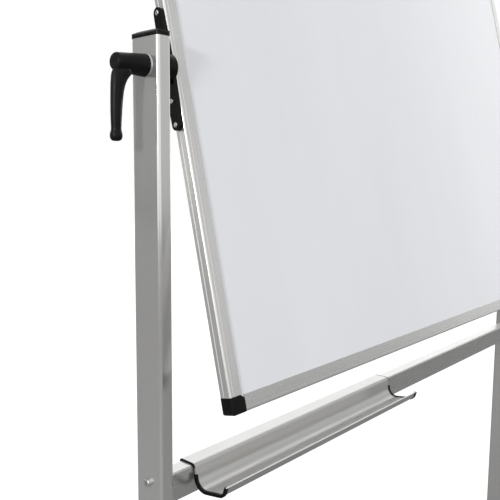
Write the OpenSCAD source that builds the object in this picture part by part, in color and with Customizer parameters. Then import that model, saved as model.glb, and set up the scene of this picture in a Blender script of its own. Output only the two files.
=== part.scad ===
// Rolling double-sided whiteboard: two posts on wheeled feet, a board that turns
// over between them and is clamped by two side levers, and a pen tray that hooks
// over the upper crossbar. Millimetres, +Z up, X along the board's width, -Y to
// the side the reader stands on. The origin is on the floor under the middle.

/* [Board] */
// Width of the board, over its frame
board_w = 1220; // [900:10:1500]
// Height of the board, over its frame
board_h = 915; // [700:5:1000]
// Thickness of the board, over its frame
board_t = 18.5; // [17:0.5:22]
// Visible width of the frame's flange round the writing surface
flange_w = 22.2; // [18:0.2:26]
// Lean of the board at rest, its lower edge towards the reader
board_tilt = 13.3; // [0:0.1:60]

/* [Stand] */
// Height of the board's pivot above the floor
pivot_z = 1430; // [1200:5:1500]
// Width of a post, seen from the front
post_w = 22; // [20:1:30]
// Depth of a post, front to back
post_d = 52; // [46:1:60]
// Length of a post above the pivot
post_above_pivot = 35.4; // [26:0.2:60]
// Gap between a post and the board's side
side_gap = 22; // [20:0.5:30]
// Depth of a crossbar, front to back
bar_d = 24; // [20:1:30]
// Height of a crossbar
bar_h = 42.7; // [36:0.1:50]
// Upper edge of the upper crossbar below the pivot
bar_drop = 549.1; // [500:0.1:620]
// Height of the lower crossbar's middle above the floor
lower_bar_z = 141; // [125:1:300]
// Length of a foot's tube
foot_len = 560; // [440:10:700]

/* [Pen tray] */
// Length of the pen tray
tray_len = 545; // [300:5:900]
// Gap between the left post and the tray's left trim
tray_gap = 49; // [2:1:200]

/* [Casters] */
// Diameter of a caster wheel
wheel_d = 50; // [46:1:52]

/* [Hidden] */
$fn = 64;
eps = 0.01;
running = 0.05;
sliding = 0.3;

// Profile of the board's frame
rail_wall = 1.6;
panel_edge = 9.8;
panel_t = board_t - 3.4;
sheet_t = 0.55;
lacquer_step = 0.05;
cap_w = 26.5;
cap_h = 23.5;
cap_proud = 0.4;
cap_edge_r = 3;

// Tubes of the stand
tube_wall = 1.6;
tube_r = 4;
bar_r = 3;
post_x = board_w / 2 + side_gap + post_w / 2;
post_in = post_x - post_w / 2;
post_out = post_x + post_w / 2;
foot_top = wheel_d + 34;
foot_t = post_w;
foot_base = foot_top - foot_t;
post_top = pivot_z + post_above_pivot;
bar_top = pivot_z - bar_drop;
bar_len = 2 * post_in;
plug_gap = 0.1;
bolt_r = 3;
bolt_offset = bar_h / 2 - 4.2;
foot_bolt_r = 4;
foot_bolt_y = 15;

// Pivot and clamp
stud_r = 5;
hub_r = 19.5;
arm_t = 6.2;
arm_w = 14.8;
screw_reach = 75;
screw_places = [-screw_reach, -43.5, 43.5, screw_reach];
nut_w = 17;
nut_h = 8;
disc_t = 2.2;
washer_t = 1.5;
lever_len = 46.8;

// Casters
wheel_r = wheel_d / 2;
stem_y = foot_len / 2 - 30;
trail = 20;
wheel_w = 16;
hood_r = wheel_r + 4.5;
hood_w = 52;
axle_r = 3;
web_w = 17;
ear_x = 15.2;
ear_w = 3.6;
pin_r = 2;
pedal_hub_w = 25.2;
pedal_r = hood_r + 1.6;
pedal_angle = 45;

// ---- Helpers ----

// Mirrors its children across the plane with this normal when sign is negative
module mirrored(normal, sign) {
  if (sign > 0) children();
  else mirror(normal) children();
}

// Draws its children on the right (side 1) or mirrored to the left (side -1)
module on_side(side) {
  mirrored([1, 0, 0], side) children();
}

// Draws its children at the rear (end 1) or mirrored to the front (end -1)
module at_end(end) {
  mirrored([0, 1, 0], end) children();
}

// Turns a shape drawn up Z so that it points outwards along X, from height z
module outwards(x, z) {
  translate([x, 0, z]) rotate([0, 90, 0]) children();
}

// Places its children in the leaning board: X across, Z up the board, -Y its front
module in_board() {
  translate([0, 0, pivot_z]) rotate([-board_tilt, 0, 0]) children();
}

// A rectangle about the origin with round corners
module round_rect(w, d, r) {
  square([w - 2 * r, d], center = true);
  square([w, d - 2 * r], center = true);
  for (x = [-1, 1], y = [-1, 1])
    translate([x * (w / 2 - r), y * (d / 2 - r)]) circle(r);
}

// Cross-section of a rectangular tube
module tube_section(w, d, r) {
  difference() {
    round_rect(w, d, r);
    round_rect(w - 2 * tube_wall, d - 2 * tube_wall, r - tube_wall);
  }
}

// Outline of a plug that fits inside a rectangular tube
module plug_section(w, d) {
  inset = 2 * (tube_wall + plug_gap);
  round_rect(w - inset, d - inset, tube_r - tube_wall - plug_gap);
}

// Hexagon socket in a screw head, open upwards at the origin
module hex_socket(size, depth) {
  translate([0, 0, -depth]) cylinder(r = size / 1.732, h = depth + 1, $fn = 6);
}

// Points along a strip's middle line. Each step is [length, 0] for a straight or
// [radius, turn] for an arc that turns left by turn degrees.
arc_parts = 10;
function arc_at(at, r, turn) =
  let (s = sign(turn))
  [at[0] + s * r * (sin(at[2] + turn) - sin(at[2])),
   at[1] - s * r * (cos(at[2] + turn) - cos(at[2])),
   at[2] + turn];
function step_at(at, step, part) =
  step[1] == 0
    ? [at[0] + part * step[0] * cos(at[2]), at[1] + part * step[0] * sin(at[2]), at[2]]
    : arc_at(at, step[0], part * step[1]);
function walk(steps, at, i = 0) =
  i == len(steps)
    ? [at]
    : concat(
        [for (k = [0 : (steps[i][1] == 0 ? 0 : arc_parts - 1)])
          step_at(at, steps[i], k / arc_parts)],
        walk(steps, step_at(at, steps[i], 1), i + 1));

function end_of(line) = line[len(line) - 1];

// Outline of a strip, with its left and right faces set off from the middle line
function strip(line, left, right) = concat(
  [for (p = line) [p[0] - left * sin(p[2]), p[1] + left * cos(p[2])]],
  [for (i = [len(line) - 1 : -1 : 0])
    [line[i][0] + right * sin(line[i][2]), line[i][1] - right * cos(line[i][2])]]);

// ---- Stand ----

module post(side) {
  color("silver") on_side(side) difference() {
    translate([post_x, 0, foot_top])
      linear_extrude(post_top - foot_top) tube_section(post_w, post_d, tube_r);
    outwards(post_in - 1, pivot_z) cylinder(r = stud_r + sliding, h = post_w + 2);
    for (z = bolt_heights())
      outwards(post_in - 1, z) cylinder(r = bolt_r + sliding, h = post_w + 2);
  }
}

function bar_heights() = [bar_top - bar_h / 2, lower_bar_z];
function bolt_heights() =
  [for (z = bar_heights(), s = [-1, 1]) z + s * bolt_offset];

// Upright outline with round upper corners, standing on the X axis
module arch(w, h, r) {
  translate([-w / 2, 0]) square([w, h - r]);
  translate([r - w / 2, 0]) square([w - 2 * r, h]);
  for (s = [-1, 1]) translate([s * (w / 2 - r), h - r]) circle(r);
}

// Caps with a slight crown and round edges, with a hollow plug in the tube
module post_caps() {
  rise = 8.9;
  crown_r = 130;
  side_r = 7.5;
  end_r = 5.5;
  plug_len = 12;
  w = post_w + 0.6;
  d = post_d + 0.6;
  color("#1a1a1a") for (side = [-1, 1]) on_side(side) translate([post_x, 0, post_top]) {
    intersection() {
      linear_extrude(rise) round_rect(w, d, tube_r);
      translate([0, d, 0]) rotate([90, 0, 0]) linear_extrude(2 * d) arch(w, rise, side_r);
      translate([-w, 0, 0]) rotate([90, 0, 90]) linear_extrude(2 * w) arch(d, rise, end_r);
      translate([-w, 0, rise - crown_r]) rotate([0, 90, 0]) cylinder(r = crown_r, h = 2 * w);
    }
    translate([0, 0, -plug_len]) linear_extrude(plug_len + eps) difference() {
      plug_section(post_w, post_d);
      square([post_w - 2 * tube_wall - 4, post_d - 2 * tube_wall - 4], center = true);
    }
  }
}

module post_plugs() {
  color("dimgray") for (side = [-1, 1]) on_side(side)
    translate([post_x, 0, foot_top]) difference() {
      linear_extrude(32) plug_section(post_w, post_d);
      for (y = [-foot_bolt_y, foot_bolt_y])
        translate([0, y, -1]) cylinder(r = foot_bolt_r + 0.02, h = 28);
    }
}

// Extruded crossbar with a screw port along its top and its bottom wall
module crossbar(z) {
  color("silver") translate([-bar_len / 2, 0, z]) rotate([90, 0, 90])
    linear_extrude(bar_len) difference() {
      union() {
        tube_section(bar_d, bar_h, bar_r);
        for (s = [-1, 1]) {
          translate([0, s * bolt_offset]) circle(4.1);
          translate([0, s * (bolt_offset + 2)]) square([8.2, 3], center = true);
        }
      }
      for (s = [-1, 1]) translate([0, s * bolt_offset]) circle(bolt_r + 0.02);
    }
}

module crossbar_bolts() {
  head_h = 5.2;
  color("lightgray") for (side = [-1, 1], z = bolt_heights()) on_side(side)
    outwards(post_out, z) difference() {
      union() {
        cylinder(r = 5, h = head_h - 0.6);
        translate([0, 0, head_h - 0.6]) cylinder(r1 = 5, r2 = 4.4, h = 0.6);
        translate([0, 0, -post_w - 26]) cylinder(r = bolt_r, h = post_w + 26);
      }
      translate([0, 0, head_h]) hex_socket(5, 2.8);
    }
}

module foot(side) {
  color("silver") on_side(side) difference() {
    translate([post_x, foot_len / 2, foot_base + foot_t / 2]) rotate([90, 0, 0])
      linear_extrude(foot_len) tube_section(post_d, foot_t, tube_r);
    for (y = [-foot_bolt_y, foot_bolt_y]) translate([post_x, y, foot_base - 1])
      cylinder(r = foot_bolt_r + sliding, h = foot_t + 2);
    for (y = [-1, 1]) translate([post_x, y * stem_y, foot_base - 1])
      cylinder(r = stud_r + sliding, h = tube_wall + 2);
  }
}

// End caps whose long plugs also take the caster stems
module foot_caps() {
  plug_len = 46;
  color("#1a1a1a") for (side = [-1, 1], end = [-1, 1]) on_side(side) at_end(end)
    translate([post_x, foot_len / 2, foot_base + foot_t / 2]) {
      rotate([-90, 0, 0]) linear_extrude(3) round_rect(post_d + 0.6, foot_t + 0.6, tube_r);
      translate([0, 3, 0]) rotate([-90, 0, 0])
        linear_extrude(2) round_rect(post_d - 3, foot_t - 3, tube_r - 1);
      difference() {
        translate([0, -plug_len, 0]) rotate([-90, 0, 0]) linear_extrude(plug_len + eps)
          plug_section(post_d, foot_t);
        translate([0, stem_y - foot_len / 2, -foot_t / 2]) cylinder(r = stud_r + 0.02, h = 17);
      }
    }
}

module foot_bolts() {
  head_h = 5;
  color("lightgray") for (side = [-1, 1], y = [-foot_bolt_y, foot_bolt_y]) on_side(side)
    translate([post_x, y, foot_base]) difference() {
      union() {
        translate([0, 0, -head_h]) cylinder(r = 6.5, h = head_h);
        translate([0, 0, -eps]) cylinder(r = foot_bolt_r, h = foot_t + 24);
      }
      translate([0, 0, -head_h]) mirror([0, 0, 1]) hex_socket(5, 3.2);
    }
}

// Spacers that stop a post's walls from folding in when its lever is tightened
module pivot_sleeves() {
  gap = post_w - 2 * tube_wall;
  color("lightgray") for (side = [-1, 1]) on_side(side)
    outwards(post_x - gap / 2, pivot_z) difference() {
      cylinder(r = 8, h = gap);
      translate([0, 0, -1]) cylinder(r = stud_r + running, h = gap + 2);
    }
}

module friction_discs() {
  color("#303030") for (side = [-1, 1]) on_side(side)
    outwards(post_in - disc_t, pivot_z) difference() {
      cylinder(r = 16, h = disc_t);
      translate([0, 0, -1]) cylinder(r = stud_r + sliding, h = disc_t + 2);
    }
}

module lever_washers() {
  color("lightgray") for (side = [-1, 1]) on_side(side)
    outwards(post_out, pivot_z) difference() {
      cylinder(r = 15.2, h = washer_t);
      translate([0, 0, -1]) cylinder(r = stud_r + sliding, h = washer_t + 2);
    }
}

// ---- Board ----

// Section of a frame rail: x runs in from the board's edge, y through its thickness
module rail_section() {
  groove = 0.7;
  difference() {
    union() {
      translate([3, 0]) round_rect(6, board_t, 2.6);
      translate([3, -board_t / 2]) square([flange_w - 3, board_t]);
    }
    translate([panel_edge - 0.1, -panel_t / 2]) square([flange_w, panel_t]);
    translate([rail_wall, -panel_t / 2])
      square([panel_edge - 2 * rail_wall, panel_t]);
    translate([0, board_t * 0.09]) rotate(45) square(groove * 1.414, center = true);
    for (s = [-1, 1]) translate([6.8, s * board_t / 2])
      rotate(45) square(groove, center = true);
  }
}

module side_rail(side) {
  rail_len = board_h - 2 * cap_h;
  color("silver") in_board() on_side(side) difference() {
    translate([board_w / 2, 0, -rail_len / 2]) mirror([1, 0, 0])
      linear_extrude(rail_len) rail_section();
    for (z = screw_places) outwards(board_w / 2 - 4, z) cylinder(r = 1.72, h = 8);
  }
}

module end_rail(s) {
  rail_len = board_w - 2 * cap_w;
  color("silver") in_board() mirrored([0, 0, 1], s) translate([-rail_len / 2, 0, board_h / 2])
    rotate([90, 90, 90]) linear_extrude(rail_len) rail_section();
}

// Sheet whose writing surface ends at the flange, with a rim that runs on beneath it
module sheet(face) {
  color("white") in_board() at_end(face)
    translate([0, -panel_t / 2, 0]) rotate([-90, 0, 0]) {
      translate([0, 0, lacquer_step]) linear_extrude(sheet_t - lacquer_step)
        square([board_w - 2 * panel_edge, board_h - 2 * panel_edge], center = true);
      linear_extrude(sheet_t - lacquer_step)
        square([board_w - 2 * flange_w - 0.4, board_h - 2 * flange_w - 0.4], center = true);
    }
}

module board_core() {
  t = panel_t - 2 * sheet_t;
  color("burlywood") in_board() cube(
    [board_w - 2 * panel_edge, t, board_h - 2 * panel_edge], center = true);
}

// Section of a corner cap across the board's edge, rounded like the rails
module cap_section() {
  t = board_t + 2 * cap_proud;
  translate([cap_proud - cap_edge_r - 1, 0]) round_rect(2 * cap_edge_r + 2, t, cap_edge_r);
  translate([-cap_w, -t / 2]) square([cap_w + cap_proud - cap_edge_r, t]);
}

// Outline of a corner cap on the board's face, its inner corner cut off
module cap_outline() {
  corner_r = 6;
  cut_w = 7;
  cut_h = 5.4;
  difference() {
    union() {
      translate([-corner_r, -corner_r]) circle(corner_r + cap_proud);
      translate([-cap_w, -cap_h]) square([cap_w - corner_r, cap_h + cap_proud]);
      translate([-cap_w, -cap_h]) square([cap_w + cap_proud, cap_h - corner_r]);
    }
    polygon([[-cap_w - 1, -cap_h - 1], [cut_w - cap_w, -cap_h - 1], [cut_w - cap_w, -cap_h],
             [-cap_w, cut_h - cap_h], [-cap_w - 1, cut_h - cap_h]]);
  }
}

// Corner pieces that hide the rails' ends and plug into their hollow chambers
module corner_caps() {
  plug_w = panel_edge - 2 * rail_wall - 0.2;
  plug_t = panel_t - 0.2;
  plug_len = 14;
  reach = cap_w + cap_proud + 1;
  color("#1a1a1a") in_board() for (side = [-1, 1], s = [-1, 1])
    on_side(side) mirrored([0, 0, 1], s) translate([board_w / 2, 0, board_h / 2]) {
      difference() {
        intersection() {
          translate([0, board_t, 0]) rotate([90, 0, 0]) linear_extrude(2 * board_t) cap_outline();
          translate([0, 0, -reach]) linear_extrude(2 * reach) cap_section();
          translate([-reach, 0, 0]) rotate([90, 90, 90])
            linear_extrude(2 * reach) mirror([1, 0, 0]) cap_section();
        }
        translate([-cap_w - 1, -panel_t / 2 - eps, -cap_h - 1])
          cube([cap_w + 1 - panel_edge + 0.1, panel_t + 2 * eps, cap_h + 1 - panel_edge + 0.1]);
      }
      translate([-rail_wall - 0.1 - plug_w, -plug_t / 2, -cap_h - plug_len])
        cube([plug_w, plug_t, plug_len + eps]);
      translate([-cap_w - plug_len, -plug_t / 2, -rail_wall - 0.1 - plug_w])
        cube([plug_len + eps, plug_t, plug_w]);
    }
}

// Pivot bracket: a narrow arm along the board's side and a round hub to the post
module bracket(side) {
  hub_t = side_gap - disc_t - 0.2;
  under_t = 3.4;
  rim_t = 3;
  crown_t = 4;
  wide = 10.4;
  color("#1a1a1a") in_board() on_side(side) outwards(board_w / 2, 0) difference() {
    union() {
      linear_extrude(arm_t) for (s = [-1, 1]) {
        translate([s * screw_reach, 0]) circle(d = arm_w);
        polygon([[0, -wide], [s * 22, -9.2], [s * screw_reach, -arm_w / 2],
                 [s * screw_reach, arm_w / 2], [s * 22, 9.2], [0, wide]]);
      }
      cylinder(r1 = hub_r - 4, r2 = hub_r, h = under_t);
      translate([0, 0, under_t]) cylinder(r = hub_r, h = hub_t - crown_t - rim_t - under_t);
      translate([0, 0, hub_t - crown_t - rim_t]) cylinder(r1 = hub_r, r2 = hub_r - 1.2, h = rim_t);
      translate([0, 0, hub_t - crown_t]) cylinder(r1 = hub_r - 1.2, r2 = hub_r - 4.5, h = crown_t);
    }
    translate([0, 0, 3]) cylinder(r = stud_r + sliding, h = hub_t);
    translate([0, 0, 3]) cylinder(r = nut_w / 1.732 + 0.1, h = nut_h + 0.2, $fn = 6);
    for (x = screw_places) translate([x, 0, -1]) cylinder(r = 1.9, h = arm_t + 2);
  }
}

// Hexagon nuts held in the brackets' hubs
module bracket_nuts() {
  color("lightgray") in_board() for (side = [-1, 1]) on_side(side)
    outwards(board_w / 2 + 3.1, 0) difference() {
      cylinder(r = nut_w / 1.732, h = nut_h, $fn = 6);
      translate([0, 0, -1]) cylinder(r = stud_r + running, h = nut_h + 2);
    }
}

module bracket_screws() {
  head_h = 1.8;
  color("lightgray") in_board() for (side = [-1, 1], z = screw_places) on_side(side)
    outwards(board_w / 2 + arm_t, z) difference() {
      union() {
        translate([0, 0, -arm_t - 5]) cylinder(r = 1.7, h = arm_t + 5);
        cylinder(r = 3.3, h = head_h - 0.8);
        translate([0, 0, head_h - 0.8]) cylinder(r1 = 3.3, r2 = 2.4, h = 0.8);
      }
      for (a = [0, 90]) rotate(a) translate([0, 0, head_h]) cube([3.6, 0.8, 2], center = true);
    }
}

// ---- Clamp levers ----

socket_r = 8.7;
spring_bore_r = 6;
thread_r = 2.5;
thread_start = 10;
screw_head_z = 36;

// Pressed insert with its long stud: the lever's splines sit over the insert
module clamp_stud(side) {
  base_z = washer_t + 0.1;
  insert_h = 18;
  color("lightgray") on_side(side) outwards(post_out, pivot_z) difference() {
    union() {
      translate([0, 0, base_z]) cylinder(r = 11, h = 1.8);
      translate([0, 0, base_z]) cylinder(r = 8.3, h = insert_h);
      translate([0, 0, 4 - post_w - side_gap]) cylinder(r = stud_r, h = post_w + side_gap);
    }
    translate([0, 0, thread_start - 1]) cylinder(r = thread_r + 0.02, h = insert_h);
  }
}

module lever_screw(side) {
  head_h = 3;
  color("lightgray") on_side(side) outwards(post_out, pivot_z) difference() {
    union() {
      translate([0, 0, thread_start]) cylinder(r = thread_r, h = screw_head_z - thread_start);
      translate([0, 0, screw_head_z]) cylinder(r = 4.8, h = head_h);
    }
    translate([0, 0, screw_head_z + head_h]) hex_socket(3, 2);
  }
}

// Coil spring between the screw's head and the lever's inner shoulder
module lever_spring(side) {
  turns = 5;
  length = 9.4;
  wire_r = 0.5;
  coil_r = 4.2;
  parts = 16;
  sides = 6;
  last = turns * parts;
  rings = [for (i = [0 : last]) let (a = i * 360 / parts, z = wire_r + i * (length - 2 * wire_r) / last)
    for (k = [0 : sides - 1]) let (b = k * 360 / sides, r = coil_r + wire_r * cos(b))
      [r * cos(a), r * sin(a), z + wire_r * sin(b)]];
  walls = [for (i = [0 : last - 1], k = [0 : sides - 1]) let (m = (k + 1) % sides)
    [i * sides + k, i * sides + m, (i + 1) * sides + m, (i + 1) * sides + k]];
  ends = [[for (k = [sides - 1 : -1 : 0]) k], [for (k = [0 : sides - 1]) last * sides + k]];
  color("gray") on_side(side) outwards(post_out, pivot_z)
    translate([0, 0, screw_head_z - length - 0.1]) polyhedron(rings, concat(walls, ends));
}

// Rings of the lever's arm: [drop below the axis, distance out, half width, half depth]
arm_rings = [
  [2, 33, 11, 8], [8, 34, 14, 8.6], [12, 35.4, 14.6, 8.8], [14.5, 36.8, 14, 8.7],
  [17, 38.4, 12.9, 8.4], [21, 40.3, 11.4, 8.1], [27, 42.1, 10.1, 7.8], [35, 43.5, 9, 7.4],
  [45, 44.5, 8.3, 7], [57, 45.3, 7.7, 6.8], [70, 45.8, 7, 6.5], [80, 46, 6.5, 6.3],
  [83, 46.1, 6.7, 6.5], [85, 46.2, 7.4, 7.3], [87.5, 46.2, 7.9, 7.8], [90.5, 46.2, 7.9, 7.8],
  [93, 46.2, 7.1, 7.1], [94.8, 46.2, 5.6, 5.6], [95.7, 46.2, 3.2, 3.2]
];

module lever_arm() {
  sides = 28;
  n = len(arm_rings);
  points = [for (ring = arm_rings, k = [0 : sides - 1]) let (a = k * 360 / sides)
    [ring[0], ring[3] * sin(a), ring[1] + ring[2] * cos(a)]];
  walls = [for (i = [0 : n - 2], k = [0 : sides - 1]) let (m = (k + 1) % sides)
    [i * sides + k, i * sides + m, (i + 1) * sides + m, (i + 1) * sides + k]];
  ends = [[for (k = [sides - 1 : -1 : 0]) k], [for (k = [0 : sides - 1]) (n - 1) * sides + k]];
  polyhedron(points, concat(walls, ends));
}

cap_seat = lever_len - 3.2;

module lever(side) {
  end_t = 1.8;
  color("#1a1a1a") on_side(side) outwards(post_out, pivot_z) difference() {
    union() {
      translate([0, 0, 2]) cylinder(r1 = 13.3, r2 = 14.2, h = 1.5);
      translate([0, 0, 3.5]) cylinder(r1 = 14.2, r2 = 11.2, h = lever_len - end_t - 3.5);
      translate([0, 0, lever_len - end_t]) cylinder(r1 = 11.2, r2 = 9.9, h = end_t);
      lever_arm();
    }
    translate([0, 0, 1]) cylinder(r = 11.3, h = 2.7);
    translate([0, 0, 2]) cylinder(r = socket_r, h = 22);
    translate([0, 0, 22]) cylinder(r = 3, h = 6);
    translate([0, 0, 26.4]) cylinder(r = spring_bore_r, h = lever_len);
    translate([0, 0, cap_seat]) cylinder(r = 8.6, h = 10);
  }
}

module lever_cap(side) {
  color("#262626") on_side(side) outwards(post_out, pivot_z) translate([0, 0, cap_seat]) {
    cylinder(r = 8.5, h = 3);
    translate([0, 0, 3]) cylinder(r1 = 8.5, r2 = 7.6, h = 0.6);
    difference() {
      translate([0, 0, -2]) cylinder(r = 5.9, h = 2 + eps);
      translate([0, 0, -3]) cylinder(r = 5.1, h = 3);
    }
  }
}

// ---- Pen tray ----

tray_t = 2;
tray_left = -post_in + tray_gap + 1.5;
tray_hook = [[8, 0], [2.2, -90], [20.7, 0], [5, -80]];
tray_wall = [16, 0];
tray_trough = [[18, 90], [26.5, 0], [12, 63], [7, 0]];
hook_start = [-13.3, -9, 90];
tray_line = walk(concat(tray_hook, [tray_wall], tray_trough), hook_start);
trim_t = 1.3;
trim_out = 1.5;
trim_lap = 2.6;
trim_reach = 5.5;
hook_line = walk(concat(tray_hook, [[1, 0]]), hook_start);
hook_end = end_of(walk(tray_hook, hook_start));
lower_start = step_at(hook_end, [tray_wall[0] - trim_reach, 0], 1);
lower_line = walk(concat([[trim_reach, 0]], tray_trough), lower_start);

// Runs a section along the crossbar: x of the section is forwards, y is up
module along_bar(x, length) {
  translate([x + length, 0, bar_top]) rotate([90, 0, -90])
    linear_extrude(length) children();
}

module pen_tray() {
  color("silver") along_bar(tray_left, tray_len) polygon(strip(tray_line, tray_t / 2, tray_t / 2));
}

// A flat edging on the hook's end and a channel-shaped one round the trough's end
module tray_trims(side) {
  half = tray_len / 2;
  proud = tray_t / 2 + trim_t;
  color("#1a1a1a") translate([tray_left + half, 0, 0]) on_side(side) difference() {
    union() {
      along_bar(half, trim_out) polygon(strip(hook_line, tray_t / 2 + 0.2, tray_t / 2));
      along_bar(half - trim_lap, trim_lap + trim_out) polygon(strip(lower_line, proud, proud));
    }
    along_bar(half - 8, 8) polygon(strip(tray_line, tray_t / 2 + eps, tray_t / 2 + eps));
  }
}

// ---- Casters ----

caster_places = [[-1, -1], [1, -1], [-1, 1], [1, 1]];

// Draws a caster's children at one corner, with its stem at the origin of X and Y
// and its wheels trailing outwards along +Y before mirroring
module at_caster(i) {
  place = caster_places[i];
  on_side(place[0]) at_end(place[1]) translate([post_x, stem_y, 0]) children();
}

module caster_stems() {
  color("lightgray") for (i = [0 : 3]) at_caster(i) {
    translate([0, 0, wheel_r + 1]) cylinder(r = stud_r, h = foot_base + 14 - wheel_r - 1);
    translate([0, 0, foot_base - 3]) cylinder(r = 9, h = 3);
  }
}

// Direction from the wheels' axle to the brake's hinge
pedal_y = trail + pedal_r * cos(pedal_angle);
pedal_z = wheel_r + pedal_r * sin(pedal_angle);

module hood_section() {
  translate([trail, wheel_r]) {
    intersection() {
      circle(hood_r);
      translate([-hood_r, 0]) square([2 * hood_r, hood_r]);
    }
    circle(wheel_r * 0.68);
  }
}

module hood(i) {
  pin_bore = pin_r + running;
  color("#1a1a1a") at_caster(i) difference() {
    union() {
      translate([-web_w / 2, 0, 0]) rotate([90, 0, 90]) linear_extrude(web_w) hood_section();
      translate([-hood_w / 2, 0, 0]) rotate([90, 0, 90]) linear_extrude(hood_w) difference() {
        hood_section();
        translate([trail, wheel_r]) circle(wheel_r + 1.6);
      }
      translate([0, 0, wheel_r + 21]) cylinder(r = 10, h = foot_base - 3.4 - wheel_r - 21);
      for (s = [-1, 1]) translate([s * ear_x - ear_w / 2, pedal_y, pedal_z])
        rotate([0, 90, 0]) cylinder(r = 4.4, h = ear_w);
    }
    translate([0, 0, wheel_r]) cylinder(r = stud_r + running, h = foot_top);
    translate([-hood_w, trail, wheel_r])
      rotate([0, 90, 0]) cylinder(r = axle_r + 0.01, h = 2 * hood_w);
    translate([-pedal_hub_w / 2 - 0.4, pedal_y, pedal_z])
      rotate([0, 90, 0]) cylinder(r = 4.3, h = pedal_hub_w + 0.8);
    translate([-hood_w / 2, pedal_y, pedal_z])
      rotate([0, 90, 0]) cylinder(r = pin_bore, h = hood_w);
    for (s = [-1, 1]) translate([s * 11, pedal_y, pedal_z]) rotate([pedal_angle, 0, 0])
      cube([4.4, 14, 11], center = true);
  }
}

module axle(i) {
  color("lightgray") at_caster(i) translate([-22.5, trail, wheel_r])
    rotate([0, 90, 0]) cylinder(r = axle_r, h = 45);
}

// Wheel with a dished inner side over the hood's web and a shallow outer dish
module wheel(i, away) {
  color("#202020") at_caster(i) on_side(away) translate([8.9, trail, wheel_r])
    rotate([0, 90, 0]) rotate_extrude($fn = 96) difference() {
      union() {
        square([wheel_r - 2.5, wheel_w]);
        translate([0, 2.5]) square([wheel_r, wheel_w - 5]);
        for (z = [2.5, wheel_w - 2.5]) translate([wheel_r - 2.5, z]) circle(2.5);
      }
      square([axle_r + running, wheel_w - 2]);
      translate([7, -1]) square([wheel_r - 12, 5]);
      translate([6, wheel_w - 2]) square([wheel_r - 10, 3]);
    }
}

// Brake pedal: pressing it down swings two short fingers onto the wheels' treads
module brake(i) {
  plate_len = 20;
  plate_lift = 12;
  pin_len = 4;
  finger_len = 5.6;
  finger_w = 3;
  finger_x = 10.9;
  finger_turn = 180 + pedal_angle + 20;
  color("#262626") at_caster(i) translate([0, pedal_y, pedal_z]) {
    translate([-pedal_hub_w / 2, 0, 0]) rotate([90, 0, 90]) linear_extrude(pedal_hub_w) {
      circle(3.6);
      rotate(plate_lift) translate([0, -1.2]) square([plate_len, 3.4]);
      rotate(plate_lift) translate([plate_len, 0.5]) circle(1.7);
    }
    translate([-pedal_hub_w / 2 - pin_len, 0, 0])
      rotate([0, 90, 0]) cylinder(r = pin_r, h = pedal_hub_w + 2 * pin_len);
    for (s = [-1, 1]) translate([s * finger_x - finger_w / 2, 0, 0]) rotate([90, 0, 90])
      linear_extrude(finger_w) rotate(finger_turn) translate([0, -1.6]) square([finger_len, 3.2]);
  }
}

// ---- Nodes ----

post(-1);  // left_post
post(1);  // right_post
post_caps();
post_plugs();
crossbar(bar_heights()[0]);  // upper_crossbar
crossbar(bar_heights()[1]);  // lower_crossbar
crossbar_bolts();
foot(-1);  // left_foot
foot(1);  // right_foot
foot_caps();
foot_bolts();
pivot_sleeves();
friction_discs();
lever_washers();
caster_stems();
sheet(1);  // front_sheet
sheet(-1);  // back_sheet
board_core();
side_rail(-1);  // left_rail
side_rail(1);  // right_rail
end_rail(1);  // top_rail
end_rail(-1);  // bottom_rail
corner_caps();
bracket(-1);  // left_bracket
bracket(1);  // right_bracket
bracket_nuts();
bracket_screws();
clamp_stud(-1);  // left_clamp_stud
lever(-1);  // left_lever
lever_cap(-1);  // left_lever_cap
lever_spring(-1);  // left_lever_spring
lever_screw(-1);  // left_lever_screw
clamp_stud(1);  // right_clamp_stud
lever(1);  // right_lever
lever_cap(1);  // right_lever_cap
lever_spring(1);  // right_lever_spring
lever_screw(1);  // right_lever_screw
pen_tray();
tray_trims(-1);  // left_tray_trims
tray_trims(1);  // right_tray_trims
hood(0);  // front_left_hood
axle(0);  // front_left_axle
wheel(0, -1);  // front_left_inner_wheel
wheel(0, 1);  // front_left_outer_wheel
brake(0);  // front_left_brake
hood(1);  // front_right_hood
axle(1);  // front_right_axle
wheel(1, -1);  // front_right_inner_wheel
wheel(1, 1);  // front_right_outer_wheel
brake(1);  // front_right_brake
hood(2);  // rear_left_hood
axle(2);  // rear_left_axle
wheel(2, -1);  // rear_left_inner_wheel
wheel(2, 1);  // rear_left_outer_wheel
brake(2);  // rear_left_brake
hood(3);  // rear_right_hood
axle(3);  // rear_right_axle
wheel(3, -1);  // rear_right_inner_wheel
wheel(3, 1);  // rear_right_outer_wheel
brake(3);  // rear_right_brake
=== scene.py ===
"""Looks of the rolling whiteboard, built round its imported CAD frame. Metres, +Z up, reader at -Y."""

import math

import bpy
from mathutils import Matrix, Vector


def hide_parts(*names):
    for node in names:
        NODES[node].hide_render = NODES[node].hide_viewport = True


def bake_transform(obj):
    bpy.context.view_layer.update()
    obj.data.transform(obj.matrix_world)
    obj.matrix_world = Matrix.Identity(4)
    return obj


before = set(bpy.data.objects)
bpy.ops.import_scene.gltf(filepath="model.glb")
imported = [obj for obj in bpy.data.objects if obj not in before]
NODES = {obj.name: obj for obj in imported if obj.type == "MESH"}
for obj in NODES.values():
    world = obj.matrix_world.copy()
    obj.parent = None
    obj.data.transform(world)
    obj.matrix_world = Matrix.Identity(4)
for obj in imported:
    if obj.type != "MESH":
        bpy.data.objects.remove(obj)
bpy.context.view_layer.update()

BOARD_TILT = math.radians(13.3)
SIDES = ("left", "right")
CORNERS = ("front_left", "front_right", "rear_left", "rear_right")


# ---- Node helpers ----


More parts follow.
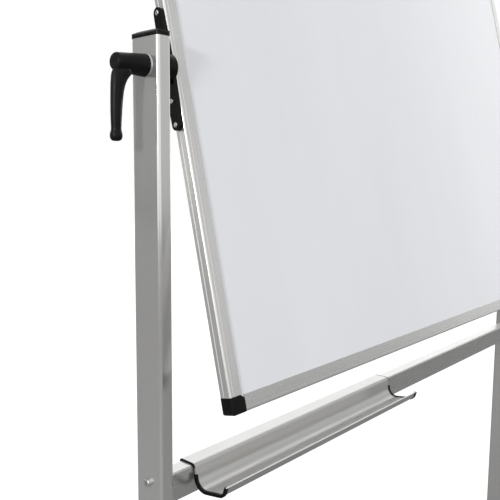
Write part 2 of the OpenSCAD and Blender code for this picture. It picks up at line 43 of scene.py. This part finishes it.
class Nodes:
    """A node tree, and a short way to add nodes to it."""

    def __init__(self, tree):
        self.tree = tree

    def node(self, kind, inputs=None, **settings):
        made = self.tree.nodes.new("ShaderNode" + kind)
        for key, value in settings.items():
            setattr(made, key, value)
        for socket, value in (inputs or {}).items():
            if isinstance(value, bpy.types.NodeSocket):
                self.tree.links.new(value, made.inputs[socket])
            else:
                made.inputs[socket].default_value = value
        return made


class Shader(Nodes):
    """A new material with its Principled shader, and short ways to shape its look."""

    def __init__(self, name, **sockets):
        self.material = bpy.data.materials.new(name)
        self.material.use_nodes = True
        super().__init__(self.material.node_tree)
        self.principled = self.tree.nodes["Principled BSDF"]
        for socket, value in sockets.items():
            self.principled.inputs[socket.replace("_", " ")].default_value = value

    def place(self, scale=(1, 1, 1), tilt=0.0):
        """The piece's own coordinates in metres, turned about X by tilt and then scaled."""
        coordinates = self.node("TexCoord").outputs["Object"]
        turned = self.node("Mapping", {"Vector": coordinates, "Rotation": (tilt, 0, 0)})
        return self.node("Mapping", {"Vector": turned.outputs[0], "Scale": scale}).outputs[0]

    def noise(self, where, scale, detail=2.0, roughness=0.5):
        inputs = {"Vector": where, "Scale": scale, "Detail": detail, "Roughness": roughness}
        return self.node("TexNoise", inputs).outputs["Fac"]

    def ramp(self, value, low, high, a, b, socket=None):
        """Maps value from low..high to a..b, and feeds it to the shader's socket if one is named."""
        inputs = {"Value": value, "From Min": low, "From Max": high, "To Min": a, "To Max": b}
        out = self.node("MapRange", inputs).outputs["Result"]
        if socket:
            self.tree.links.new(out, self.principled.inputs[socket])
        return out

    def mix(self, factor, a, b):
        """Mixes two colours by factor, into the shader's base colour."""
        mixed = self.node("Mix", data_type="RGBA")
        for index, value in ((0, factor), (6, a), (7, b)):
            if isinstance(value, bpy.types.NodeSocket):
                self.tree.links.new(value, mixed.inputs[index])
            else:
                mixed.inputs[index].default_value = value
        self.tree.links.new(mixed.outputs[2], self.principled.inputs["Base Color"])

    def bump(self, height, distance, strength=1.0, under=None):
        inputs = {"Height": height, "Distance": distance, "Strength": strength}
        if under:
            inputs["Normal"] = under
        out = self.node("Bump", inputs).outputs["Normal"]
        self.tree.links.new(out, self.principled.inputs["Normal"])
        return out


def grey(value, warmth=0.0):
    return (value * (1 + warmth), value, value * (1 - warmth), 1)


# ---- Materials ----


def anodised(name, along, tilt=0.0, colour=0.62, rough=0.27):
    """Satin anodised extrusion: fine die lines run along one axis, over a soft cloudy finish.
    It isn't fully metallic, so that it scatters enough light to show soft shadows."""
    shader = Shader(name, Metallic=0.8)
    stretch = [0.25 if axis == along else 60.0 for axis in "XYZ"]
    lines = shader.noise(shader.place(stretch, tilt), 30.0, 3.0, 0.6)
    cloud = shader.noise(shader.place(), 14.0, 3.0)
    fine = shader.noise(shader.place(), 2600.0, 1.0)
    dull, bright = grey(colour * 0.93, 0.02), (colour, colour, colour * 0.965, 1)
    shader.mix(shader.ramp(lines, 0.35, 0.65, 0.0, 1.0), dull, bright)
    spread = shader.node("Math", {0: lines, 1: cloud}, operation="ADD").outputs[0]
    shader.ramp(spread, 0.7, 1.3, rough - 0.05, rough + 0.05, "Roughness")
    shader.bump(lines, 0.00001, 0.3, shader.bump(fine, 0.00001, 0.25))
    return shader.material


def lacquer():
    """Glossy white writing face with a faint orange peel and a trace of wiped-off haze."""
    shader = Shader("white_lacquer", Coat_Weight=0.5, Coat_Roughness=0.05)
    haze = shader.noise(shader.place((1.0, 1.0, 0.35), BOARD_TILT), 5.0, 4.0, 0.6)
    shader.mix(shader.ramp(haze, 0.3, 0.7, 0.0, 1.0), (0.69, 0.70, 0.72, 1), (0.72, 0.73, 0.75, 1))
    shader.ramp(haze, 0.3, 0.7, 0.16, 0.24, "Roughness")
    peel = shader.noise(shader.place(), 700.0, 2.0)
    shader.bump(peel, 0.00001, 0.2)
    return shader.material


def moulded(name, colour, rough, grain_scale=1600.0, grain=0.00003):
    """Dark moulded plastic with a fine grain, and slow flow marks in its colour and gloss."""
    shader = Shader(name, Specular_IOR_Level=0.12)
    flow = shader.noise(shader.place(), 60.0, 3.0)
    shader.mix(shader.ramp(flow, 0.35, 0.7, 0.0, 1.0), grey(colour * 0.8, 0.02), grey(colour * 1.25, 0.02))
    shader.ramp(flow, 0.3, 0.7, rough - 0.06, rough + 0.06, "Roughness")
    shader.bump(shader.noise(shader.place(), grain_scale, 2.0), grain, 0.5)
    return shader.material


def wheel_nylon():
    """Dark nylon wheel with scuffs from the floor."""
    shader = Shader("wheel_nylon")
    scuff = shader.noise(shader.place(), 240.0, 4.0, 0.7)
    dust = shader.noise(shader.place(), 45.0, 2.0)
    marks = shader.node("Math", {0: scuff, 1: dust}, operation="MULTIPLY").outputs[0]
    shader.mix(shader.ramp(marks, 0.25, 0.42, 0.0, 1.0), grey(0.02, 0.02), grey(0.055, 0.06))
    shader.ramp(marks, 0.2, 0.45, 0.42, 0.68, "Roughness")
    shader.bump(scuff, 0.00008, 0.4)
    return shader.material


def zinc():
    """Bright zinc-plated steel with faint blotches and a fine grain."""
    colour, rough = 0.62, 0.26
    shader = Shader("zinc_steel", Metallic=1.0)
    blotch = shader.noise(shader.place(), 320.0, 3.0, 0.6)
    shader.mix(shader.ramp(blotch, 0.35, 0.65, 0.0, 1.0), grey(colour * 0.9, -0.01), grey(colour, 0.01))
    shader.ramp(blotch, 0.3, 0.7, rough - 0.06, rough + 0.08, "Roughness")
    shader.bump(shader.noise(shader.place(), 1900.0, 2.0), 0.00001, 0.3)
    return shader.material


def cardboard():
    """Brown honeycomb board inside the panel."""
    shader = Shader("core_board", Roughness=0.9)
    fibre = shader.noise(shader.place(), 500.0, 4.0, 0.7)
    shader.mix(fibre, (0.30, 0.19, 0.10, 1), (0.48, 0.33, 0.19, 1))
    shader.bump(fibre, 0.0001, 0.5)
    return shader.material


def dress(material, *names):
    """Gives the named CAD nodes one material."""
    for name in names:
        slots = NODES[name].data.materials
        if not slots:
            slots.append(material)
        for index in range(len(slots)):
            slots[index] = material


def dress_all():
    upright = anodised("anodised_upright", "Z", colour=0.60, rough=0.17)
    across = anodised("anodised_across", "X", colour=0.53)
    lengthwise = anodised("anodised_lengthwise", "Y")
    leaning = anodised("anodised_leaning", "Z", BOARD_TILT)
    leaning_across = anodised("anodised_leaning_across", "X", BOARD_TILT, colour=0.55)
    tray = anodised("anodised_tray", "X", colour=0.52, rough=0.33)
    black = moulded("black_plastic", 0.003, 0.30)
    lever = moulded("lever_plastic", 0.004, 0.42, grain_scale=1100.0, grain=0.00004)
    nylon = moulded("dark_nylon", 0.012, 0.52)
    wheel = wheel_nylon()
    steel = zinc()

    dress(upright, "left_post", "right_post")
    dress(across, "upper_crossbar", "lower_crossbar")
    dress(lengthwise, "left_foot", "right_foot")
    dress(leaning, "left_rail", "right_rail")
    dress(leaning_across, "top_rail", "bottom_rail")
    dress(tray, "pen_tray")
    dress(lacquer(), "front_sheet", "back_sheet")
    dress(cardboard(), "board_core")
    dress(black, "post_caps", "foot_caps", "corner_caps", "left_bracket", "right_bracket")
    dress(black, "left_tray_trims", "right_tray_trims")
    dress(nylon, "post_plugs", "friction_discs")
    dress(steel, "crossbar_bolts", "foot_bolts", "pivot_sleeves", "lever_washers", "caster_stems")
    dress(steel, "bracket_nuts", "bracket_screws")
    for side in SIDES:
        dress(lever, side + "_lever", side + "_lever_cap")
        dress(steel, *(f"{side}_{part}" for part in ("clamp_stud", "lever_spring", "lever_screw")))
    for corner in CORNERS:
        dress(black, corner + "_hood", corner + "_brake")
        dress(steel, corner + "_axle")
        dress(wheel, corner + "_inner_wheel", corner + "_outer_wheel")


# ---- Lever springs ----


def add_springs():
    """The spring in each lever is one rigid CAD node. A copy of its mesh, with its placement baked in,
    stands for it, and the CAD node itself is hidden."""
    for side in SIDES:
        node = side + "_lever_spring"
        coil = bpy.data.objects.new(side + "_coil_spring", NODES[node].data.copy())
        bpy.context.scene.collection.objects.link(coil)
        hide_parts(node)
        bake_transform(coil)


# ---- Studio ----

CAMERA_PLACE = (-1.2147, -0.6617, 1.3012)
CAMERA_YAW = math.radians(46.689)
CAMERA_PITCH = math.radians(6.832)
CAMERA_ROLL = math.radians(0.093)
CAMERA_LENS = 47.91
CAMERA_SHIFT = (0.0588, -0.004)

FLOOR_REACH = 12.0
# The floor is mid grey to the object, and this glow makes it near white where it is seen directly
FLOOR_GLOW = 0.84

# Level directions of the studio's light, as the object's surfaces see it
TOWARD_CAMERA = (-0.731, -0.682, 0.0)
AWAY = (0.731, 0.682, 0.0)
TOWARD_RIGHT = (0.67, -0.74, 0.0)
UP = (0, 0, 1)
BRIGHT = 1.30
BACK = 1.70
LOW_LEFT = 0.12
HIGH_LEFT = 0.34
LOW_RIGHT = 0.60
HIGH_RIGHT = 0.74

LAMP_PLACE = (-3.5, -0.7, 2.0)
LAMP_AIM = (-0.7, 0.0, 1.4)
LAMP_SIZE = 0.3
LAMP_POWER = 52


def add_camera():
    data = bpy.data.cameras.new("camera")
    data.sensor_width = 36
    data.lens = CAMERA_LENS
    data.shift_x, data.shift_y = CAMERA_SHIFT
    data.clip_end = 100
    camera = bpy.data.objects.new("camera", data)
    bpy.context.scene.collection.objects.link(camera)
    camera.matrix_world = (
        Matrix.Translation(CAMERA_PLACE)
        @ Matrix.Rotation(-CAMERA_YAW, 4, "Z")
        @ Matrix.Rotation(math.pi / 2 - CAMERA_PITCH, 4, "X")
        @ Matrix.Rotation(CAMERA_ROLL, 4, "Z")
    )
    bpy.context.scene.camera = camera


def add_lamp():
    """The small lamp at the left, which throws the lever's shadow on the post."""
    data = bpy.data.lights.new("key", "AREA")
    data.shape = "RECTANGLE"
    data.size = data.size_y = LAMP_SIZE
    data.energy = LAMP_POWER
    lamp = bpy.data.objects.new("key", data)
    bpy.context.scene.collection.objects.link(lamp)
    lamp.visible_camera = False
    lamp.location = LAMP_PLACE
    aim = Vector(LAMP_AIM) - Vector(LAMP_PLACE)
    lamp.rotation_euler = aim.to_track_quat("-Z", "Y").to_euler()


def add_floor():
    mesh = bpy.data.meshes.new("floor")
    turns = ((-1, -1), (1, -1), (1, 1), (-1, 1))
    corners = [(x * FLOOR_REACH, y * FLOOR_REACH, 0) for x, y in turns]
    mesh.from_pydata(corners, [], [(0, 1, 2, 3)])
    floor = bpy.data.objects.new("floor", mesh)
    bpy.context.scene.collection.objects.link(floor)
    shader = Shader("pale_floor", Roughness=0.8, Emission_Color=(1, 1, 1, 1))
    shader.mix(shader.noise(shader.place(), 3.0), grey(0.21), grey(0.24))
    seen = shader.node("LightPath").outputs["Is Camera Ray"]
    shader.ramp(seen, 0.0, 1.0, 0.0, FLOOR_GLOW, "Emission Strength")
    mesh.materials.append(shader.material)


def light_level(nodes):
    """Strength of the studio's light by direction: bright behind the camera and beyond the
    object, and between them dimmer on the left than on the right, and lower down than higher."""
    where = nodes.node("TexCoord").outputs["Generated"]

    def toward(direction):
        return nodes.node("VectorMath", {0: where, 1: direction}, operation="DOT_PRODUCT").outputs["Value"]

    def spread(value, low, high, a, b):
        inputs = {"Value": value, "From Min": low, "From Max": high, "To Min": a, "To Max": b}
        return nodes.node("MapRange", inputs, interpolation_type="SMOOTHSTEP").outputs["Result"]

    low = spread(toward(TOWARD_RIGHT), -1.0, 1.0, LOW_LEFT, LOW_RIGHT)
    high = spread(toward(TOWARD_RIGHT), -1.0, 1.0, HIGH_LEFT, HIGH_RIGHT)
    sides = spread(toward(UP), -0.25, 0.15, low, high)
    beyond = spread(toward(AWAY), 0.2, 0.65, sides, BACK)
    return spread(toward(TOWARD_CAMERA), 0.02, 0.34, beyond, BRIGHT)


def add_world():
    """White where it is seen directly. The object's surfaces find light_level there instead."""
    world = bpy.data.worlds.new("studio")
    world.use_nodes = True
    bpy.context.scene.world = world
    world.node_tree.nodes.clear()
    nodes = Nodes(world.node_tree)
    white = nodes.node("Background", {"Color": (1, 1, 1, 1)}).outputs[0]
    lit = {"Color": (0.985, 0.99, 1.0, 1), "Strength": light_level(nodes)}
    lit = nodes.node("Background", lit).outputs[0]
    seen = nodes.node("LightPath").outputs["Is Camera Ray"]
    mixed = nodes.node("MixShader", {0: seen, 1: lit, 2: white}).outputs[0]
    nodes.node("OutputWorld", {"Surface": mixed})


def add_studio():
    bpy.context.scene.view_settings.view_transform = "Standard"
    add_world()
    add_floor()
    add_lamp()
    add_camera()


dress_all()
add_springs()
add_studio()
